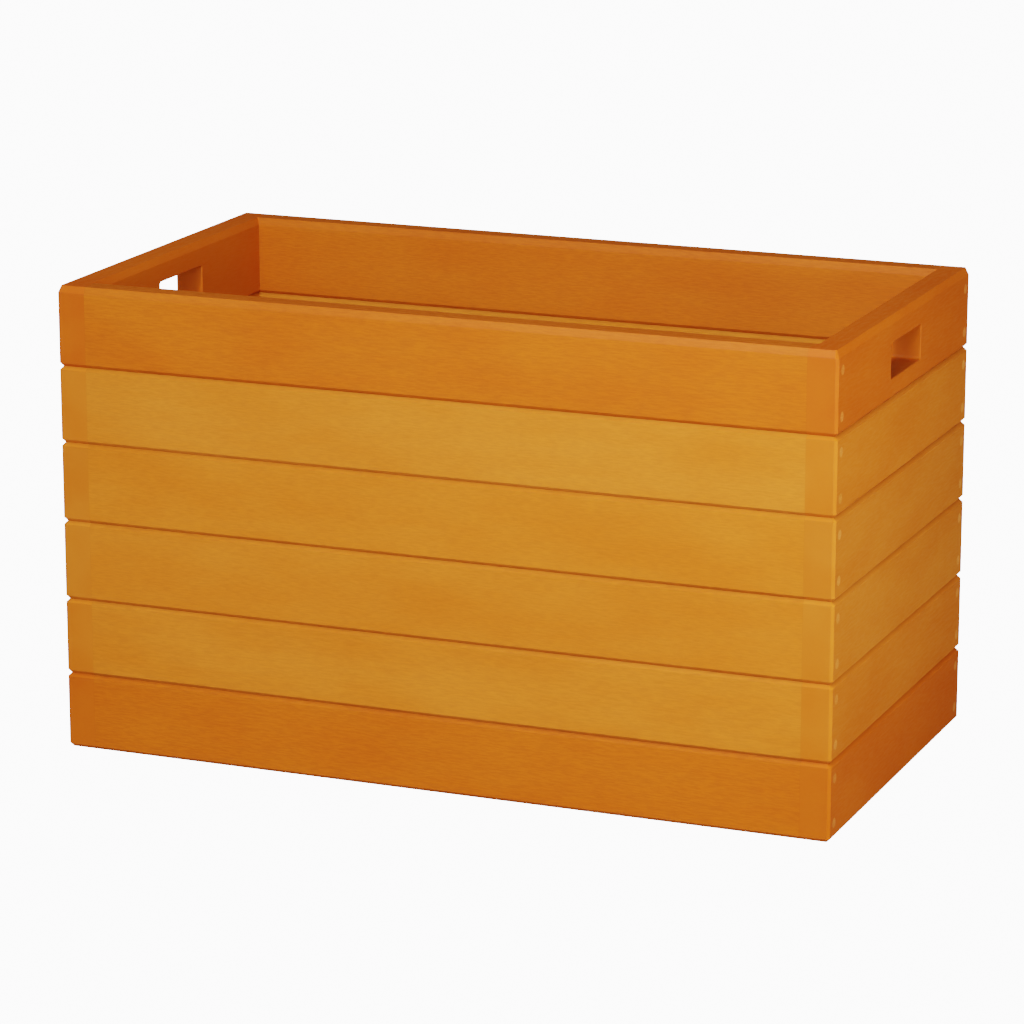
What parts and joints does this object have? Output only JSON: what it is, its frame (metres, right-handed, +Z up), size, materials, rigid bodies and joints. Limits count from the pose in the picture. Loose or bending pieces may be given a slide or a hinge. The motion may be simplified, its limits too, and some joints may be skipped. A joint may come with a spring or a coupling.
{
  "type": "open wooden apple box",
  "caption": "Open-topped rectangular wooden apple box of stacked boards with V grooves between courses, dowelled corners, a hand slot in each end and a slatted floor.",
  "frame": {"origin": "on the ground, under the middle of the box", "axes": "+X along the length towards the right end, +Y from front to back, +Z up out of the open top"},
  "size_m": [0.5, 0.266, 0.2945],
  "materials": {
    "rim_and_base_board": "oiled, satin, red-brown orange",
    "middle_board": "oiled, satin, honey yellow",
    "dowel": "pale end grain, satin",
    "floor_wood": "planed, satin",
    "screw_steel": "zinc-plated"
  },
  "bodies": {
    "root": {"front_board_1": "rim_and_base_board", "back_board_1": "rim_and_base_board", "left_end_board_1": "rim_and_base_board", "right_end_board_1": "rim_and_base_board", "front_board_6": "rim_and_base_board", "back_board_6": "rim_and_base_board", "left_end_board_6": "rim_and_base_board", "right_end_board_6": "rim_and_base_board", "front_board_2": "middle_board", "back_board_2": "middle_board", "left_end_board_2": "middle_board", "right_end_board_2": "middle_board", "front_board_3": "middle_board", "back_board_3": "middle_board", "left_end_board_3": "middle_board", "right_end_board_3": "middle_board", "front_board_4": "middle_board", "back_board_4": "middle_board", "left_end_board_4": "middle_board", "right_end_board_4": "middle_board", "front_board_5": "middle_board", "back_board_5": "middle_board", "left_end_board_5": "middle_board", "right_end_board_5": "middle_board", "left_corner_dowels_1": "dowel", "right_corner_dowels_1": "dowel", "left_corner_dowels_2": "dowel", "right_corner_dowels_2": "dowel", "left_corner_dowels_3": "dowel", "right_corner_dowels_3": "dowel", "left_corner_dowels_4": "dowel", "right_corner_dowels_4": "dowel", "left_corner_dowels_5": "dowel", "right_corner_dowels_5": "dowel", "left_corner_dowels_6": "dowel", "right_corner_dowels_6": "dowel", "edge_dowels_1_2": "dowel", "edge_dowels_2_3": "dowel", "edge_dowels_3_4": "dowel", "edge_dowels_4_5": "dowel", "edge_dowels_5_6": "dowel", "floor_board_1": "floor_wood", "floor_board_2": "floor_wood", "floor_board_3": "floor_wood", "floor_board_4": "floor_wood", "floor_board_5": "floor_wood", "floor_board_6": "floor_wood", "front_cleat": "floor_wood", "back_cleat": "floor_wood", "floor_screws": "screw_steel", "cleat_screws": "screw_steel"}
  },
  "joints": []
}
